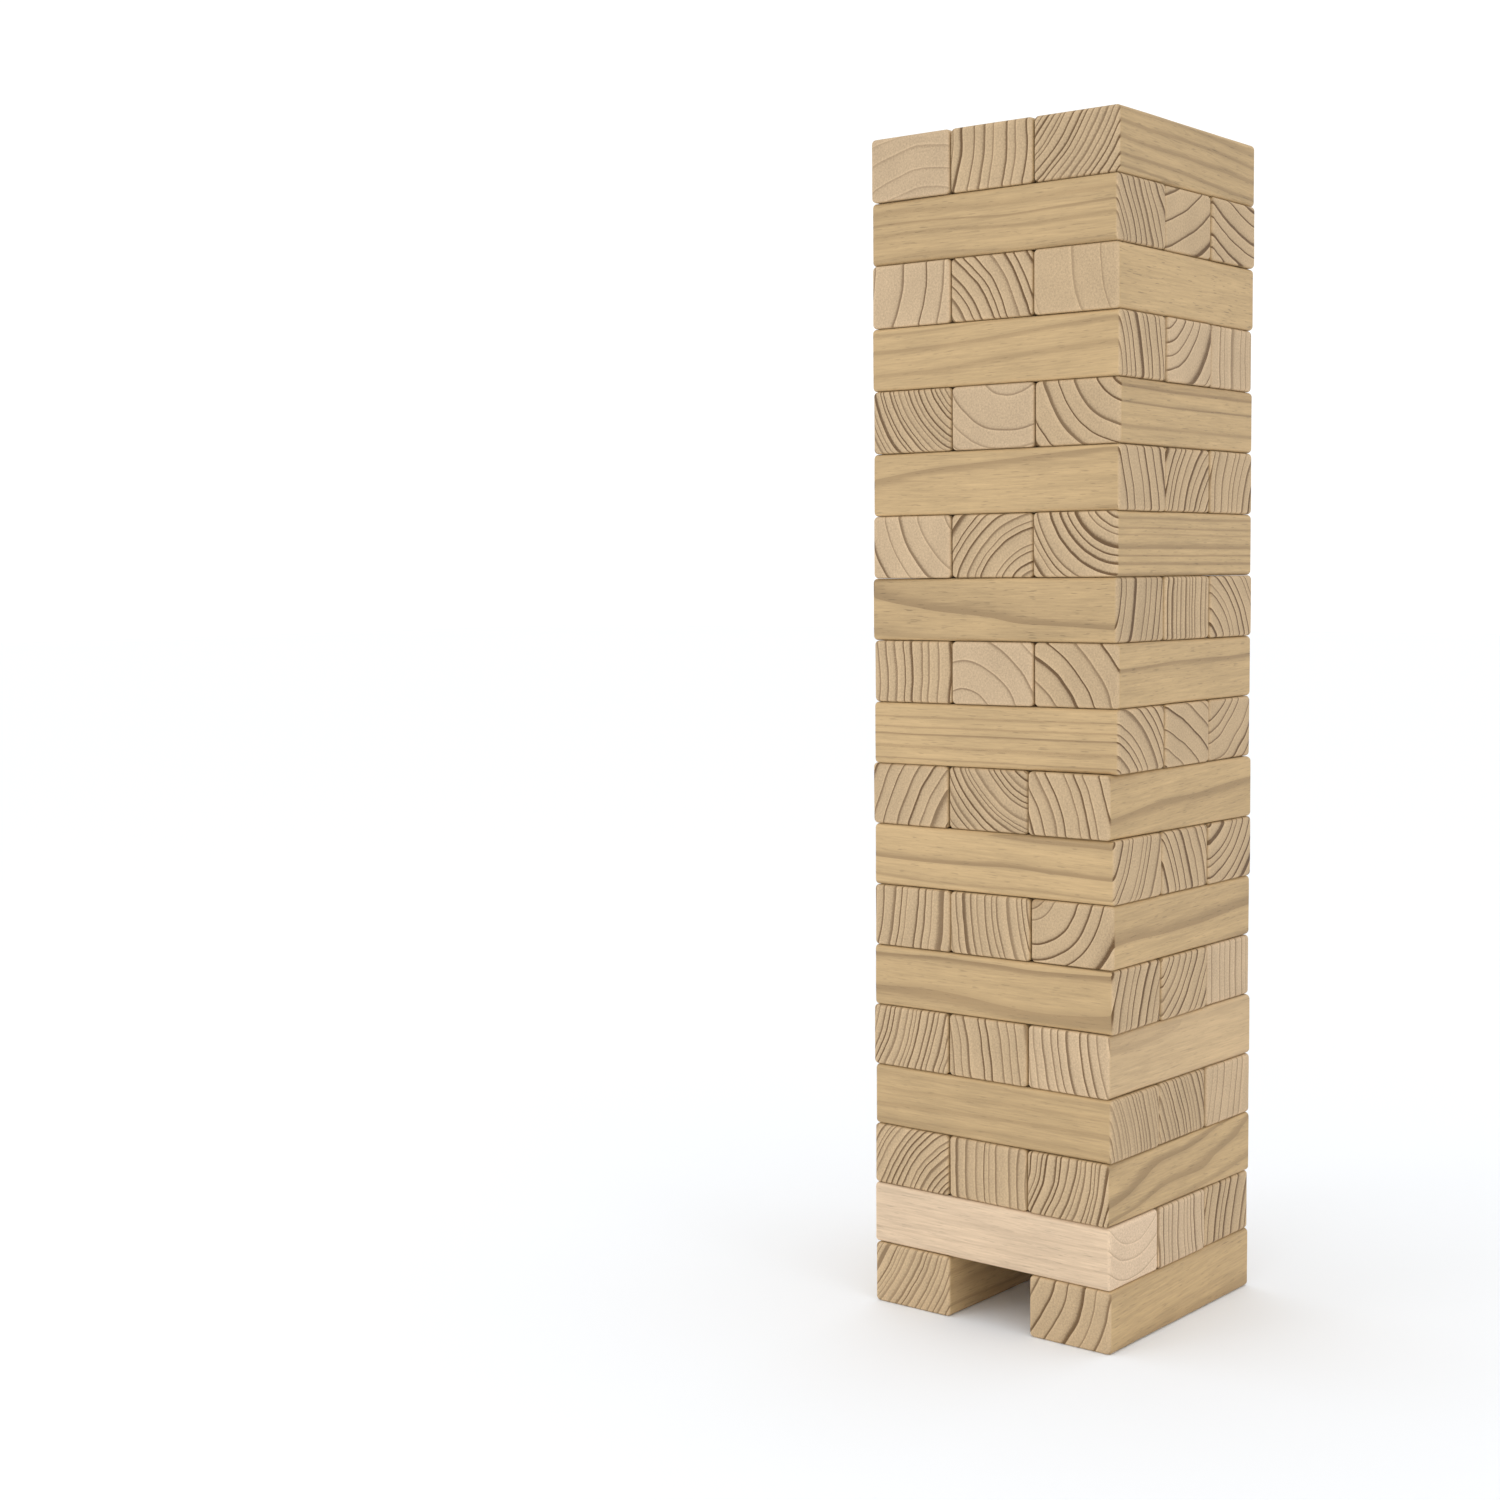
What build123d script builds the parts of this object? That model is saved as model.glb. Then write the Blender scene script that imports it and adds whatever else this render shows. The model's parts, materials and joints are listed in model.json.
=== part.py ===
from build123d import *
import os

os.makedirs("parts", exist_ok=True)

# Giant tumbling tower: loose pine blocks, stacked three to a level, with each
# level laid across the one below. The bottom level has only its two outer
# blocks, so a gap runs right through the foot of the tower.
#
# Frame: origin on the ground at the centre of the footprint, +Z up. Blocks of
# odd levels lie along Y, with one end on the front (-Y). Blocks of even levels
# lie along X, with one end on the right (+X). Levels count up from the ground.

# One block, in millimetres
BLOCK_LENGTH = 180.0
BLOCK_HEIGHT = 40.0
LONG_EDGE_RADIUS = 3.0   # the four edges along the grain
END_EDGE_RADIUS = 2.0    # the rim round each end

# The stack
LEVEL_COUNT = 19
SIDE_CLEARANCE = 0.45    # between blocks that lie side by side
LEVEL_CLEARANCE = 0.0    # blocks rest flat on the level below

# Three blocks side by side, with the clearances between them, are as wide as a block is long
BLOCK_WIDTH = (BLOCK_LENGTH - 2 * SIDE_CLEARANCE) / 3

# How far each level is turned from square by hand, in degrees, from the ground up
LEVEL_TWIST = (
    0.0, -0.2, -0.7, -0.2, -0.6, 0.4, 0.7, 0.5, -0.4, 1.7,
    1.8, 1.3, 1.5, 1.6, 2.0, 1.9, 1.5, 0.8, 1.5,
)

# How far blocks are pushed out of line along their length, taken in turn
BLOCK_PUSH = (0.0, 0.5, -0.4, 0.3, -0.6, 0.0, 0.4)

SIDES_OF_ODD_LEVEL = ("left", "middle", "right")
SIDES_OF_EVEN_LEVEL = ("front", "middle", "back")


def make_block():
    """One block lying along X, centred on X and Y, with its underside at Z = 0."""
    block = Box(
        BLOCK_LENGTH,
        BLOCK_WIDTH,
        BLOCK_HEIGHT,
        align=(Align.CENTER, Align.CENTER, Align.MIN),
    )
    block = fillet(block.edges().filter_by(Axis.X), LONG_EDGE_RADIUS)
    ends = block.faces().filter_by(Axis.X)
    return fillet(ends.edges(), END_EDGE_RADIUS)


def level_sides(level):
    """The names of a level's places, in order along the direction it is laid out in."""
    return SIDES_OF_ODD_LEVEL if level % 2 else SIDES_OF_EVEN_LEVEL


def is_left_out(level, side):
    """The bottom level has no middle block."""
    return level == 1 and side == "middle"


def block_location(level, place, push):
    """Where a block lies: place is -1, 0 or 1 across the level, push is along its length."""
    quarter_turn = 90.0 if level % 2 else 0.0
    across = place * (BLOCK_WIDTH + SIDE_CLEARANCE)
    if level % 2:
        across = -across    # a quarter turn takes the block's +Y to the left
    height = (level - 1) * (BLOCK_HEIGHT + LEVEL_CLEARANCE)
    twist = LEVEL_TWIST[(level - 1) % len(LEVEL_TWIST)]
    turned = Location((0, 0, height), (0, 0, quarter_turn + twist))
    return turned * Location((push, across, 0))


def build_tower():
    """Every block of the tower in its place, by node name."""
    pattern = make_block()
    blocks = {}
    for level in range(1, LEVEL_COUNT + 1):
        for place, side in enumerate(level_sides(level), start=-1):
            if is_left_out(level, side):
                continue
            push = BLOCK_PUSH[len(blocks) % len(BLOCK_PUSH)]
            name = f"level_{level:02d}_{side}_block"
            blocks[name] = block_location(level, place, push) * pattern
    return blocks


for node, solid in build_tower().items():
    export_step(solid, f"parts/{node}.step")
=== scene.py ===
import json
import math
from collections import namedtuple

import bmesh
import bpy
from bpy.props import FloatProperty, FloatVectorProperty, IntProperty, PointerProperty
from mathutils import Matrix, Vector, noise


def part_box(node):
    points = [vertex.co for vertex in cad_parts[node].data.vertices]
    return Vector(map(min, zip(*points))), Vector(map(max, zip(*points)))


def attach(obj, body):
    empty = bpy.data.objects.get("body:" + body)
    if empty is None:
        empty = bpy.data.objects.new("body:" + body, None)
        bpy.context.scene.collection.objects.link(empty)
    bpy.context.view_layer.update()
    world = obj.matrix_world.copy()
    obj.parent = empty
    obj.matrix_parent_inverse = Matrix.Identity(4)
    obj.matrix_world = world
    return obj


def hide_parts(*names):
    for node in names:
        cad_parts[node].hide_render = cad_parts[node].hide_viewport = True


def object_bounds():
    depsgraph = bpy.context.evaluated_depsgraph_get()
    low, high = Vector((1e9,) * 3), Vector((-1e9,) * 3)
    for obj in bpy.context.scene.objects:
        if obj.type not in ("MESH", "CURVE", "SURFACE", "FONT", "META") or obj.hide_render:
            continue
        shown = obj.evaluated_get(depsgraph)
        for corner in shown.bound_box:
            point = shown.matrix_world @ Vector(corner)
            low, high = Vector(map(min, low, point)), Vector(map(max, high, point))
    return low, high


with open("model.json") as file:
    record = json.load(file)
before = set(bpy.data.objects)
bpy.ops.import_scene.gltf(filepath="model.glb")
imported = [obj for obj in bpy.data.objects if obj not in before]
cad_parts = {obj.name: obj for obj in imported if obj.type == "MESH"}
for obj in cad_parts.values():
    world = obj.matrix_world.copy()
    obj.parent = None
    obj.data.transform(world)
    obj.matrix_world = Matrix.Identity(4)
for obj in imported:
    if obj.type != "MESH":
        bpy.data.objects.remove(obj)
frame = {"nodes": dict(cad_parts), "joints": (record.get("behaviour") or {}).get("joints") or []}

bl_info = {
    "name": "Giant tumbling tower",
    "version": (1, 0, 0),
    "blender": (4, 5, 0),
    "location": "3D View > Sidebar > Tower",
    "description": "Builds a tower of loose pine blocks with solid wood grain, and its stage",
    "category": "Add Mesh",
}

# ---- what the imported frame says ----

CAD_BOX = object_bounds()
SQUARE_BLOCK = "level_01_left_block"    # lies square along Y, so its box is the block's own size
LEVELS = max(int(node.split("_")[1]) for node in frame["nodes"])
SLIDE_AXIS = {joint["child"]: Vector(joint["axis"]) for joint in frame["joints"]}


def block_size():
    """Length, width and height of one block, in metres."""
    low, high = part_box(SQUARE_BLOCK)
    width, length, height = high - low
    return Vector((length, width, height))


def blocks_of(level):
    """The CAD nodes of one level's blocks."""
    return [node for node in sorted(frame["nodes"]) if node.startswith(f"level_{level:02d}_")]


def block_matrix(node):
    """Takes a block's own frame to its place. Its own X runs lengthwise and comes out of the end
    that faces the front or the right, its Y is to the right of someone who looks at that end,
    and its Z is up."""
    axis = SLIDE_AXIS.get(node, Vector((0, 1, 0)))
    along = axis if abs(axis.x) > abs(axis.y) else -axis
    up = Vector((0, 0, 1))
    across = up.cross(along)
    low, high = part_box(node)
    turn = Matrix((along, across, up)).transposed().to_4x4()
    return Matrix.Translation((low + high) / 2) @ turn


# ---- the grain of each block ----
# pith: where the heart of the tree lies, in mm right of and above the middle of the end
# ring: the width of a year's ring in mm; bold: strength of the dark late wood
# lean: how far the heart moves right and up for each unit of length, going towards that end
# wave: how far the rings wander, in mm; brown: how far brown wood reaches from the heart, in mm
# light and pale: the block's own shade; dashes: strength of the short resin streaks

Grain = namedtuple(
    "Grain", "pith ring bold lean wave brown light pale dashes",
    defaults=(1.0, (0.0, 0.0), 2.5, 12.0, 1.0, 0.0, 1.0))

GRAIN = {
    "level_01_left": Grain((-110, 60), 4.0, 0.7),
    "level_01_right": Grain((-90, 40), 10.0, 0.95, lean=(0.0, -0.05), wave=3.5, light=1.03),
    "level_02_front": Grain((0, 45), 15.0, 0.35, light=1.04, pale=0.95, dashes=0.7),
    "level_02_middle": Grain((150, 10), 6.0, 0.7, pale=0.4),
    "level_02_back": Grain((120, -30), 8.0, 1.2),
    "level_03_left": Grain((90, -70), 4.2, 1.0),
    "level_03_middle": Grain((160, 0), 6.5, 0.8),
    "level_03_right": Grain((-130, 35), 4.2, 1.2, lean=(0.04, 0.0), wave=6.0, light=0.99),
    "level_04_front": Grain((-150, -50), 4.0, 0.6, wave=1.5, light=0.95, dashes=0.6),
    "level_04_middle": Grain((-130, -50), 4.5, 0.8, light=0.93),
    "level_04_back": Grain((-160, 25), 9.0, 0.5, pale=0.2),
    "level_05_left": Grain((-120, 35), 4.2, 0.9),
    "level_05_middle": Grain((-110, -15), 7.5, 0.9),
    "level_05_right": Grain((130, 20), 6.7, 0.8, light=1.03, pale=0.2, dashes=0.6),
    "level_06_front": Grain((120, -45), 8.0, 1.2),
    "level_06_middle": Grain((-70, 50), 7.0, 1.1),
    "level_06_back": Grain((220, 0), 8.0, 0.5, pale=0.3),
    "level_07_left": Grain((-120, 15), 6.5, 0.8),
    "level_07_middle": Grain((130, 15), 5.5, 0.8),
    "level_07_right": Grain((-32, 28), 11.0, 1.2, lean=(0.0, -0.03), brown=20.0),
    "level_08_front": Grain((-100, 40), 8.0, 1.1, lean=(0.0, -0.03), light=1.02),
    "level_08_middle": Grain((-80, -35), 7.5, 1.2),
    "level_08_back": Grain((-38, 45), 7.5, 1.3),
    "level_09_left": Grain((120, -60), 9.0, 1.2),
    "level_09_middle": Grain((50, 50), 4.5, 0.9, light=0.94),
    "level_09_right": Grain((-105, -38), 8.0, 1.1, lean=(0.0, -0.07), light=1.01),
    "level_10_front": Grain((-50, -55), 7.0, 1.3, wave=1.0, brown=48.0, light=1.02),
    "level_10_middle": Grain((-100, -190), 12.0, 1.1),
    "level_10_back": Grain((-45, 60), 9.0, 1.0, wave=6.0, brown=62.0),
    "level_11_left": Grain((-150, 0), 6.5, 0.9),
    "level_11_middle": Grain((-20, -30), 16.0, 0.55, brown=1.0, light=0.98, pale=0.25),
    "level_11_right": Grain((-58, -45), 12.0, 1.1, lean=(0.0, -0.03), light=0.99),
    "level_12_front": Grain((-142, 30), 9.0, 1.1, lean=(0.03, 0.0), light=0.95, dashes=1.3),
    "level_12_middle": Grain((200, 0), 5.5, 0.9),
    "level_12_back": Grain((-55, -45), 7.0, 1.1),
    "level_13_left": Grain((60, 35), 13.0, 0.8, pale=0.2),
    "level_13_middle": Grain((40, -40), 6.0, 1.1),
    "level_13_right": Grain((35, 35), 6.0, 1.1, wave=1.5),
    "level_14_front": Grain((-160, -42), 10.0, 1.4, lean=(0.03, 0.0)),
    "level_14_middle": Grain((70, -40), 7.0, 1.2, light=1.01),
    "level_14_back": Grain((90, -25), 8.0, 1.1, light=1.02),
    "level_15_left": Grain((60, 40), 3.6, 0.95, light=0.93),
    "level_15_middle": Grain((12, 37), 13.0, 0.5, brown=1.0, light=0.94, pale=0.25),
    "level_15_right": Grain((42, 36), 11.0, 1.4, wave=1.5, brown=32.0, light=0.98),
    "level_16_front": Grain((-100, -25), 7.0, 1.0, lean=(0.0, 0.04), light=1.02),
    "level_16_middle": Grain((-35, 40), 11.0, 0.8, pale=0.2),
    "level_16_back": Grain((200, 0), 9.0, 0.6, pale=0.2),
    "level_17_left": Grain((-90, 15), 16.0, 0.8, pale=0.2),
    "level_17_middle": Grain((-80, -50), 6.5, 1.0),
    "level_17_right": Grain((90, 15), 22.0, 0.3, light=1.01, dashes=1.6),
    "level_18_front": Grain((-110, -50), 6.0, 1.0, wave=5.5, light=0.95),
    "level_18_middle": Grain((-70, 150), 14.0, 1.2),
    "level_18_back": Grain((55, 147), 10.0, 1.3),
    "level_19_left": Grain((10, -90), 12.0, 0.25, wave=4.0, light=0.93, pale=0.25),
    "level_19_middle": Grain((-110, 15), 7.5, 0.9),
    "level_19_right": Grain((-80, 60), 4.0, 1.0, lean=(0.0, 0.04), light=0.95),
}


# ---- settings that a user would change ----

class BlockSettings(bpy.types.PropertyGroup):
    """Shape of a block's edges and faces."""

    long_edge: FloatProperty(
        name="Long edge", description="Radius of the four edges along the grain",
        default=0.003, min=0.0, unit="LENGTH")
    end_edge: FloatProperty(
        name="End edge", description="Radius of the rim round each end",
        default=0.002, min=0.0, unit="LENGTH")
    long_edge_segments: IntProperty(
        name="Long edge segments", description="Facets round a long edge", default=5, min=1)
    end_edge_segments: IntProperty(
        name="End edge segments", description="Facets round the rim of an end", default=4, min=1)
    cell: FloatProperty(
        name="Cell", description="Size of the mesh cells on the flat faces",
        default=0.006, min=0.001, unit="LENGTH")
    hollow: FloatProperty(
        name="Hollow", description="How deep sanding leaves the flat faces uneven",
        default=0.00018, min=0.0, unit="LENGTH")
    edge_wear: FloatProperty(
        name="Edge wear", description="How much the rounded edges are sanded away in places",
        default=0.0006, min=0.0, unit="LENGTH")


class PineSettings(bpy.types.PropertyGroup):
    """Colours and surface of the planed pine."""

    early_wood: FloatVectorProperty(
        name="Early wood", description="Pale wood along the sides",
        subtype="COLOR", default=(0.46, 0.32, 0.163), min=0.0, max=1.0)
    end_wood: FloatVectorProperty(
        name="End wood", description="Pale wood on the sawn ends",
        subtype="COLOR", default=(0.452, 0.327, 0.194), min=0.0, max=1.0)
    late_wood: FloatVectorProperty(
        name="Late wood", description="Dark rings",
        subtype="COLOR", default=(0.115, 0.060, 0.020), min=0.0, max=1.0)
    heart_wood: FloatVectorProperty(
        name="Heart wood", description="Brown wood near the heart of the tree",
        subtype="COLOR", default=(0.26, 0.15, 0.06), min=0.0, max=1.0)
    pale_wood: FloatVectorProperty(
        name="Pale wood", description="Colour that the palest blocks tend to",
        subtype="COLOR", default=(0.60, 0.455, 0.315), min=0.0, max=1.0)
    roughness: FloatProperty(
        name="Roughness", description="Roughness of the sanded sides",
        subtype="FACTOR", default=0.62, min=0.0, max=1.0)


class StageSettings(bpy.types.PropertyGroup):
    """Camera, lights and floor."""

    camera_at: FloatVectorProperty(
        name="Camera", description="Where the camera stands",
        subtype="TRANSLATION", default=(0.799, -1.285, 0.484))
    heading: FloatProperty(
        name="Heading", description="The camera's turn to the left from looking straight back",
        subtype="ANGLE", default=math.radians(39.71))
    tilt: FloatProperty(
        name="Tilt", description="How far the camera looks down",
        subtype="ANGLE", default=math.radians(4.43))
    roll: FloatProperty(
        name="Roll", description="How far the camera is tipped over to the right",
        subtype="ANGLE", default=math.radians(0.52))
    lens: FloatProperty(
        name="Lens", description="Focal length in mm on a 36 mm sensor", default=54.64, min=1.0,
        unit="CAMERA")
    floor_shade: FloatVectorProperty(
        name="Floor", description="Colour of the floor",
        subtype="COLOR", default=(0.90, 0.92, 0.945), min=0.0, max=1.0)
    key_power: FloatProperty(
        name="Key light", description="Power of the large light on the left",
        default=13.0, min=0.0, unit="POWER")
    fill_power: FloatProperty(
        name="Fill light", description="Power of the soft light on the right",
        default=6.5, min=0.0, unit="POWER")
    sky: FloatProperty(
        name="Room light", description="Strength of the even white surroundings",
        default=1.10, min=0.0)


class TowerSettings(bpy.types.PropertyGroup):
    """All settings of the tower."""

    block: PointerProperty(type=BlockSettings)
    pine: PointerProperty(type=PineSettings)
    stage: PointerProperty(type=StageSettings)


# ---- block shape ----

BESIDE_EDGE = 0.0006            # from the rounded edges to the outermost cuts
BROAD_UNEVENNESS = 22           # waves to the metre that sanding leaves on a face
FINE_UNEVENNESS = 90            # waves to the metre of the wear on an edge
SEED_SHIFT = (3.7, 1.9, 2.3)            # moves the pattern from block to block


def runs_along_x(edge):
    """True for an edge that lies lengthwise."""
    step = edge.verts[1].co - edge.verts[0].co
    return abs(step.x) > 0.5 * step.length


def bevel_edges(shape, edges, radius, segments):
    """Rounds these edges."""
    bmesh.ops.bevel(
        shape, geom=edges, offset=radius, offset_type="OFFSET", segments=segments,
        profile=0.5, affect="EDGES", material=-1)


def cut_positions(half, margin, cell):
    """Places of the cuts across a side of twice half, from one inner margin to the other."""
    reach = half - margin
    count = max(2, round(2 * reach / cell))
    return [-reach + 2 * reach * step / count for step in range(count + 1)]


def cut_into_cells(shape, size, settings):
    """Cuts the flat faces into cells, with the outermost cuts close to the rounded edges."""
    margins = (settings.end_edge, settings.long_edge, settings.long_edge)
    for axis, (length, margin) in enumerate(zip(size, margins)):
        normal = Vector((0, 0, 0))
        normal[axis] = 1.0
        for place in cut_positions(length / 2, margin + BESIDE_EDGE, settings.cell):
            everything = [*shape.verts, *shape.edges, *shape.faces]
            bmesh.ops.bisect_plane(
                shape, geom=everything, plane_co=normal * place, plane_no=normal)


def block_pattern(settings):
    """A block in its own frame, with rounded edges and its flat faces cut into cells."""
    size = block_size()
    shape = bmesh.new()
    bmesh.ops.create_cube(shape, size=1.0)
    bmesh.ops.scale(shape, vec=size, verts=shape.verts)
    long_edges = [edge for edge in shape.edges if runs_along_x(edge)]
    bevel_edges(shape, long_edges, settings.long_edge, settings.long_edge_segments)
    rims = [edge for edge in shape.edges if not runs_along_x(edge)]
    bevel_edges(shape, rims, settings.end_edge, settings.end_edge_segments)
    cut_into_cells(shape, size, settings)
    return shape


def roundness(point, size, settings):
    """0 on the flat faces, up to 1 where the surface has turned furthest round an edge."""
    inset = [size[axis] / 2 - abs(point[axis]) for axis in range(3)]
    reach = (settings.end_edge, settings.long_edge, settings.long_edge)
    near = sorted((1 - min(1.0, gap / far) for gap, far in zip(inset, reach)), reverse=True)
    return near[1]


def sand(shape, size, settings, seed):
    """Sinks the faces and rounds off the edges a little, unevenly, as sanding does."""
    shift = Vector([seed * step for step in SEED_SHIFT])
    shape.normal_update()
    for vert in shape.verts:
        turned = roundness(vert.co, size, settings)
        broad = noise.noise(vert.co * BROAD_UNEVENNESS + shift) * 0.5 + 0.5
        fine = noise.noise(vert.co * FINE_UNEVENNESS + shift) * 0.5 + 0.5
        depth = settings.hollow * broad + settings.edge_wear * turned * broad * fine
        vert.co -= vert.normal * depth


def write_vectors(mesh, name, values):
    """Stores one vector for each vertex."""
    attribute = mesh.attributes.new(name, "FLOAT_VECTOR", "POINT")
    attribute.data.foreach_set("vector", [number for value in values for number in value])


def add_block(node, pattern, settings, material):
    """Makes the detailed block that stands for one CAD block."""
    grain = GRAIN[node.removesuffix("_block")]
    seed = sorted(GRAIN).index(node.removesuffix("_block")) + 1
    size = block_size()
    shape = pattern.copy()
    right, up = (mm / 1000 for mm in grain.pith)
    places = [vert.co.copy() for vert in shape.verts]
    sand(shape, size, settings, seed)
    shape.transform(block_matrix(node))
    mesh = bpy.data.meshes.new(f"pine_{node}")
    shape.to_mesh(mesh)
    shape.free()
    mesh.polygons.foreach_set("use_smooth", [True] * len(mesh.polygons))
    from_end = [size.x / 2 - p.x for p in places]
    side, rise = grain.lean
    write_vectors(mesh, "from_heart", [
        (p.x, p.y - right + side * gap, p.z - up + rise * gap) for p, gap in zip(places, from_end)])
    write_vectors(mesh, "rings", [(grain.ring, seed, grain.bold)] * len(places))
    # shade holds the block's own tone, its paleness, and how far round an edge each point lies; the
    # last makes the edges lighter below, partly a painted highlight, partly paler sanded wood
    write_vectors(mesh, "shade", [
        (grain.light, grain.pale, roundness(p, size, settings)) for p in places])
    write_vectors(mesh, "growth", [(grain.brown, grain.wave, grain.dashes)] * len(places))
    mesh.materials.append(material)
    piece = bpy.data.objects.new(f"pine_{node}", mesh)
    bpy.context.collection.objects.link(piece)
    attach(piece, node)
    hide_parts(node)
    return piece


# ---- pine ----

# Size of each feature along and across the grain, in mm
SLOW_BEND = (170, 45)
QUICK_BEND = (60, 12)
CLOUD = (60, 24)
STREAK = (150, 5)
FIBRE = (24, 1.1)
RESIN = (10, 0.8)

GRIT_PER_MM = 0.8
QUICK_BEND_REACH = 0.55     # in mm
LINE_WIDTH = 2.0            # of the darkest wood in a ring, at most, in mm
LATE_WIDTH = 4.0            # of all the dark wood in a ring, at most, in mm


class Nodes:
    """Adds nodes to a tree. An input is given as a number, a vector or another node's output."""

    def __init__(self, tree):
        self.tree = tree

    def add(self, kind, inputs=(), **settings):
        """A node with these settings, and these inputs by name or number."""
        node = self.tree.nodes.new(kind)
        for name, value in settings.items():
            setattr(node, name, value)
        for key, value in dict(inputs).items():
            self.feed(node.inputs[key], value)
        return node

    def feed(self, socket, value):
        """Gives a socket its value or its link."""
        if isinstance(value, bpy.types.NodeSocket):
            self.tree.links.new(value, socket)
        else:
            socket.default_value = value

    def math(self, operation, *values):
        """A number worked out from numbers."""
        return self.add("ShaderNodeMath", enumerate(values), operation=operation).outputs[0]

    def vector(self, operation, *values):
        """A vector worked out from vectors."""
        return self.add("ShaderNodeVectorMath", enumerate(values), operation=operation).outputs[0]

    def scaled(self, vector, factor):
        """A vector times a number."""
        inputs = {0: vector, "Scale": factor}
        return self.add("ShaderNodeVectorMath", inputs, operation="SCALE").outputs[0]

    def length(self, vector):
        """The length of a vector."""
        node = self.add("ShaderNodeVectorMath", {0: vector}, operation="LENGTH")
        return node.outputs["Value"]

    def split(self, vector):
        """The three numbers of a vector."""
        return self.add("ShaderNodeSeparateXYZ", {0: vector}).outputs

    def attribute(self, name):
        """The vector stored on the mesh under this name."""
        return self.add("ShaderNodeAttribute", attribute_name=name).outputs["Vector"]

    def fade(self, value, start, end):
        """1 up to start, falling smoothly to 0 at end. With end below start, it rises."""
        inputs = {"Value": value, "From Min": start, "From Max": end, "To Min": 1.0, "To Max": 0.0}
        node = self.add("ShaderNodeMapRange", inputs, interpolation_type="SMOOTHSTEP")
        return node.outputs["Result"]

    def swing(self, value, reach):
        """Turns a number about 0.5 into one about 0, up to half of reach either way."""
        return self.math("MULTIPLY", self.math("SUBTRACT", value, 0.5), reach)

    def total(self, *values):
        """The sum of several numbers."""
        result = values[0]
        for value in values[1:]:
            result = self.math("ADD", result, value)
        return result

    def product(self, *values):
        """The product of several numbers."""
        result = values[0]
        for value in values[1:]:
            result = self.math("MULTIPLY", result, value)
        return result

    def noise(self, vector, detail=2.0, roughness=0.5):
        """Soft noise about 0.5 at one cell to the unit, as a number and as a colour."""
        inputs = {"Vector": vector, "Scale": 1.0, "Detail": detail, "Roughness": roughness}
        return self.add("ShaderNodeTexNoise", inputs).outputs

    def blend(self, factor, first, second):
        """From the first number to the second."""
        return self.add("ShaderNodeMix", {"Factor": factor, 2: first, 3: second}).outputs[0]

    def mix(self, factor, first, second):
        """From the first colour to the second."""
        node = self.add("ShaderNodeMix", {"Factor": factor}, data_type="RGBA")
        self.feed(node.inputs[6], first)
        self.feed(node.inputs[7], second)
        return node.outputs[2]


def stretched(nodes, place, seed, feature):
    """Coordinates for noise with features of this size."""
    along, across = feature
    scale = (1 / along, 1 / across, 1 / across)
    return nodes.vector("MULTIPLY_ADD", place, scale, nodes.scaled((3.1, 7.7, 5.3), seed))


def bend(nodes, place, seed, feature, reach):
    """Place pushed sideways by up to reach mm, so that the rings wander."""
    colour = nodes.noise(stretched(nodes, place, seed, feature), 1.0)["Color"]
    push = nodes.vector("SUBTRACT", colour, (0.5, 0.5, 0.5))
    push = nodes.scaled(push, nodes.math("MULTIPLY", reach, 2.0))
    return nodes.vector("MULTIPLY_ADD", push, (0, 1, 1), place)


def add_rings(nodes, place, ring, seed, wave):
    """Distance from the heart in mm, mm still to go to the ring's dark edge, mm past the last
    one, and how dark this ring is."""
    place = bend(nodes, place, seed, SLOW_BEND, wave)
    place = bend(nodes, place, seed, QUICK_BEND, QUICK_BEND_REACH)
    heart = nodes.length(nodes.vector("MULTIPLY", place, (0, 1, 1)))
    years = nodes.math("DIVIDE", heart, ring)
    order = nodes.math("MULTIPLY_ADD", years, 0.42, nodes.math("MULTIPLY", seed, 3.37))
    pace = nodes.add("ShaderNodeTexNoise", {"W": order, "Scale": 1.0, "Detail": 1.0},
                     noise_dimensions="1D").outputs[0]
    years = nodes.math("MULTIPLY_ADD", pace, 1.4, years)
    part = nodes.math("FRACT", years)
    inside = nodes.math("MULTIPLY", nodes.math("SUBTRACT", 1.0, part), ring)
    outside = nodes.math("MULTIPLY", part, ring)
    year = nodes.math("MULTIPLY_ADD", seed, 11.0, nodes.math("FLOOR", years))
    luck = nodes.add("ShaderNodeTexWhiteNoise", {"W": year}, noise_dimensions="1D").outputs["Value"]
    return heart, inside, outside, nodes.math("MULTIPLY_ADD", luck, 0.85, 0.5)


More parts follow.
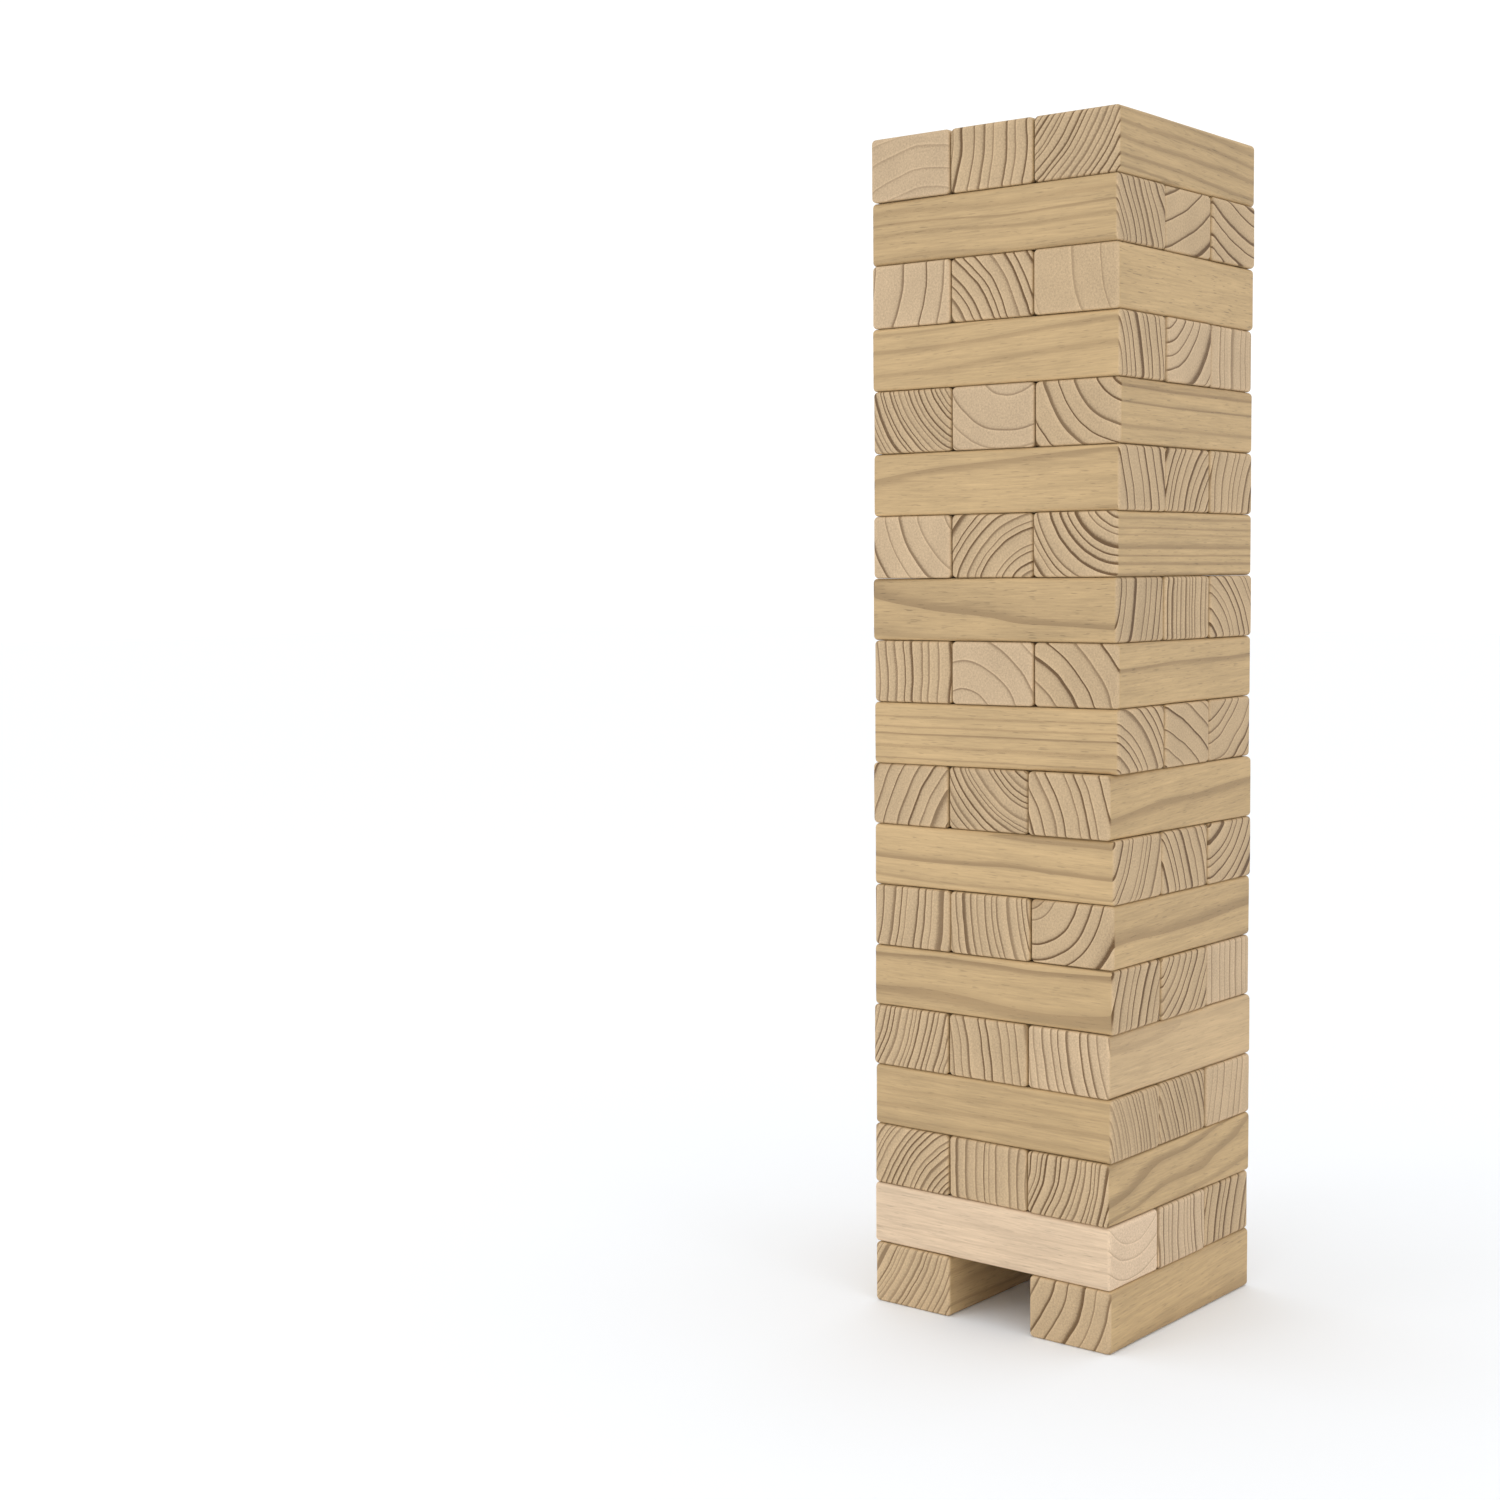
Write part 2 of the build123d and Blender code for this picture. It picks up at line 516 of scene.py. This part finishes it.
def pine_material(settings):
    """Solid pine: rings about each block's own heart line, crisp on the ends and soft along the
    sides, with fibres, short resin streaks and pores. Its rounded edges are painted lighter:
    partly a painted highlight, partly paler sanded wood."""
    material = bpy.data.materials.new("solid_pine")
    material.use_nodes = True
    shader = material.node_tree.nodes["Principled BSDF"]
    nodes = Nodes(material.node_tree)
    early, end, late_shade, brown, white = (
        (*getattr(settings, key), 1.0)
        for key in ("early_wood", "end_wood", "late_wood", "heart_wood", "pale_wood"))

    place = nodes.scaled(nodes.attribute("from_heart"), 1000.0)
    ring, seed, bold = nodes.split(nodes.attribute("rings"))
    # rounded: how far round an edge the surface lies, used for the painted edge highlight
    light, pale, rounded = nodes.split(nodes.attribute("shade"))
    brown_reach, wave, dashed = nodes.split(nodes.attribute("growth"))
    heart, inside, outside, strength = add_rings(nodes, place, ring, seed, wave)

    half_length = block_size().x / 2 * 1000
    from_middle = nodes.math("ABSOLUTE", nodes.split(place)[0])
    on_end = nodes.fade(from_middle, half_length - 0.3, half_length - 1.9)

    streak = nodes.noise(stretched(nodes, place, seed, STREAK), 3.0)[0]
    fibre = nodes.noise(stretched(nodes, place, seed, FIBRE), 4.0, 0.7)[0]
    resin = nodes.noise(stretched(nodes, place, seed, RESIN), 1.0)[0]
    grit = nodes.noise(nodes.scaled(place, GRIT_PER_MM), 3.0, 0.75)[0]
    cloud = nodes.noise(stretched(nodes, place, seed, CLOUD), 2.0)[0]

    ragged = nodes.swing(nodes.blend(on_end, fibre, grit), 1.2)
    inside = nodes.math("ADD", inside, ragged)
    outside = nodes.math("SUBTRACT", outside, ragged)
    line = nodes.fade(inside, 0.7, nodes.math("MINIMUM", LINE_WIDTH, nodes.math("MULTIPLY", ring, 0.4)))
    late = nodes.fade(inside, 0.0, nodes.math("MINIMUM", LATE_WIDTH, nodes.math("MULTIPLY", ring, 0.5)))
    past = nodes.fade(outside, 0.0, 0.9)
    fresh = nodes.fade(outside, 0.2, 2.0)
    end_dark = nodes.math("MULTIPLY_ADD", line, 0.66, nodes.math("MULTIPLY", late, 0.3))
    end_dark = nodes.math("MULTIPLY", end_dark, nodes.math("MULTIPLY_ADD", grit, 1.0, 0.5))
    side_dark = nodes.math("MAXIMUM", late, past)
    side_dark = nodes.math("MULTIPLY_ADD", line, 0.2, nodes.math("MULTIPLY", side_dark, 0.13))
    side_dark = nodes.math("MULTIPLY", side_dark, nodes.math("MULTIPLY_ADD", fibre, 1.3, 0.35))
    dark = nodes.product(nodes.blend(on_end, side_dark, end_dark), strength, bold)

    wood = nodes.mix(on_end, early, end)
    wood = nodes.mix(pale, wood, white)
    near_heart = nodes.fade(heart, nodes.math("MULTIPLY", brown_reach, 0.4), brown_reach)
    wood = nodes.mix(nodes.math("MULTIPLY", near_heart, 0.5), wood, brown)
    wood = nodes.mix(dark, wood, late_shade)

    dashes = nodes.product(nodes.fade(resin, 0.73, 0.63), dashed, -0.24)
    side_grain = nodes.total(nodes.swing(streak, 0.34), nodes.swing(fibre, 0.66), dashes)
    end_grain = nodes.math("MULTIPLY_ADD", fresh, 0.12, nodes.swing(grit, 1.0))
    surface = nodes.blend(on_end, side_grain, end_grain)
    # Painted highlight: the rounded edges are made up to 18% lighter, partly for the light that they
    # catch and partly for paler sanded wood
    edge = nodes.math("MULTIPLY", rounded, 0.18)
    shade = nodes.total(1.0, surface, edge, nodes.swing(cloud, 0.24))
    wood = nodes.scaled(wood, nodes.math("MULTIPLY", light, shade))
    nodes.feed(shader.inputs["Base Color"], wood)

    rough = nodes.math("MULTIPLY_ADD", on_end, 0.14, settings.roughness)
    nodes.feed(shader.inputs["Roughness"], nodes.math("MULTIPLY_ADD", dark, -0.12, rough))
    shader.inputs["Specular IOR Level"].default_value = 0.35

    relief = nodes.math("MULTIPLY_ADD", dark, -0.6, nodes.math("MULTIPLY", fibre, 0.35))
    relief = nodes.math("MULTIPLY_ADD", on_end, nodes.math("MULTIPLY", grit, 0.6), relief)
    bump = nodes.add("ShaderNodeBump", {"Height": relief, "Strength": 0.4, "Distance": 0.0005})
    nodes.feed(shader.inputs["Normal"], bump.outputs[0])
    return material


# ---- stage ----

# The stage, in metres
FLOOR_WIDTH = 30.0
KEY_LIGHT_AT = (-1.1, -2.6, 0.5)
FILL_LIGHT_AT = (2.7, -0.7, 0.5)
LIGHT_WIDTH = 0.8


def plain_material(name, shade, roughness):
    """A plain surface of one colour."""
    material = bpy.data.materials.new(name)
    material.use_nodes = True
    shader = material.node_tree.nodes["Principled BSDF"]
    shader.inputs["Base Color"].default_value = (*shade, 1.0)
    shader.inputs["Roughness"].default_value = roughness
    return material


def add_floor(settings):
    """A wide pale floor at the foot of the tower."""
    shape = bmesh.new()
    bmesh.ops.create_grid(shape, x_segments=1, y_segments=1, size=FLOOR_WIDTH / 2)
    bmesh.ops.translate(shape, vec=(0, 0, CAD_BOX[0].z), verts=shape.verts)
    mesh = bpy.data.meshes.new("floor")
    shape.to_mesh(mesh)
    shape.free()
    mesh.materials.append(plain_material("floor", settings.floor_shade, 0.9))
    floor = bpy.data.objects.new("floor", mesh)
    bpy.context.collection.objects.link(floor)


def add_soft_light(name, place, target, power):
    """A square light at place that faces target."""
    light = bpy.data.lights.new(name, "AREA")
    light.shape = "SQUARE"
    light.size = LIGHT_WIDTH
    light.energy = power
    lamp = bpy.data.objects.new(name, light)
    lamp.location = place
    lamp.rotation_euler = (Vector(target) - Vector(place)).to_track_quat("-Z", "Y").to_euler()
    bpy.context.collection.objects.link(lamp)


def add_surroundings(strength):
    """Even white light from all round."""
    world = bpy.data.worlds.new("studio")
    world.use_nodes = True
    background = world.node_tree.nodes["Background"]
    background.inputs["Color"].default_value = (1.0, 1.0, 1.0, 1.0)
    background.inputs["Strength"].default_value = strength
    bpy.context.scene.world = world


def add_camera(settings):
    """The camera."""
    lens = bpy.data.cameras.new("camera")
    lens.lens = settings.lens
    lens.sensor_width = 36.0
    camera = bpy.data.objects.new("camera", lens)
    camera.location = settings.camera_at
    camera.rotation_euler = (math.pi / 2 - settings.tilt, settings.roll, settings.heading)
    bpy.context.collection.objects.link(camera)
    bpy.context.scene.camera = camera


# ---- operators ----

class TOWER_OT_add_level(bpy.types.Operator):
    """Add the pine blocks of one level"""

    bl_idname = "tumbling_tower.add_level"
    bl_label = "Add level"

    level: IntProperty(name="Level", description="Level from the ground", default=1, min=1)

    def execute(self, context):
        nodes = blocks_of(self.level)
        if not nodes:
            raise ValueError(f"the frame has no blocks on level {self.level}")
        settings = context.scene.tumbling_tower
        material = bpy.data.materials.get("solid_pine") or pine_material(settings.pine)
        pattern = block_pattern(settings.block)
        for node in nodes:
            add_block(node, pattern, settings.block, material)
        pattern.free()
        return {"FINISHED"}


class TOWER_OT_set_stage(bpy.types.Operator):
    """Add the floor, the lights and the camera"""

    bl_idname = "tumbling_tower.set_stage"
    bl_label = "Set stage"

    def execute(self, context):
        settings = context.scene.tumbling_tower.stage
        middle = (CAD_BOX[0] + CAD_BOX[1]) / 2
        add_floor(settings)
        add_surroundings(settings.sky)
        add_soft_light("key_light", KEY_LIGHT_AT, middle, settings.key_power)
        add_soft_light("fill_light", FILL_LIGHT_AT, middle, settings.fill_power)
        add_camera(settings)
        context.scene.view_settings.view_transform = "Standard"
        return {"FINISHED"}


class TOWER_PT_sidebar(bpy.types.Panel):
    """Shows the tower's settings and the buttons that build its levels and stage"""

    bl_label = "Tumbling tower"
    bl_idname = "TOWER_PT_sidebar"
    bl_space_type = "VIEW_3D"
    bl_region_type = "UI"
    bl_category = "Tower"

    def draw(self, context):
        settings = context.scene.tumbling_tower
        for title, group in (("Block", settings.block), ("Pine", settings.pine)):
            self.layout.label(text=title)
            for name in group.__annotations__:
                self.layout.prop(group, name)
        self.layout.operator(TOWER_OT_add_level.bl_idname)
        self.layout.label(text="Stage")
        for name in settings.stage.__annotations__:
            self.layout.prop(settings.stage, name)
        self.layout.operator(TOWER_OT_set_stage.bl_idname)


CLASSES = (
    BlockSettings,
    PineSettings,
    StageSettings,
    TowerSettings,
    TOWER_OT_add_level,
    TOWER_OT_set_stage,
    TOWER_PT_sidebar,
)


def register():
    for one in CLASSES:
        bpy.utils.register_class(one)
    bpy.types.Scene.tumbling_tower = PointerProperty(type=TowerSettings)


def unregister():
    del bpy.types.Scene.tumbling_tower
    for one in reversed(CLASSES):
        bpy.utils.unregister_class(one)


def main():
    """Builds every level and the stage."""
    register()
    for level in range(1, LEVELS + 1):
        bpy.ops.tumbling_tower.add_level(level=level)
    bpy.ops.tumbling_tower.set_stage()


if __name__ == "__main__":
    main()
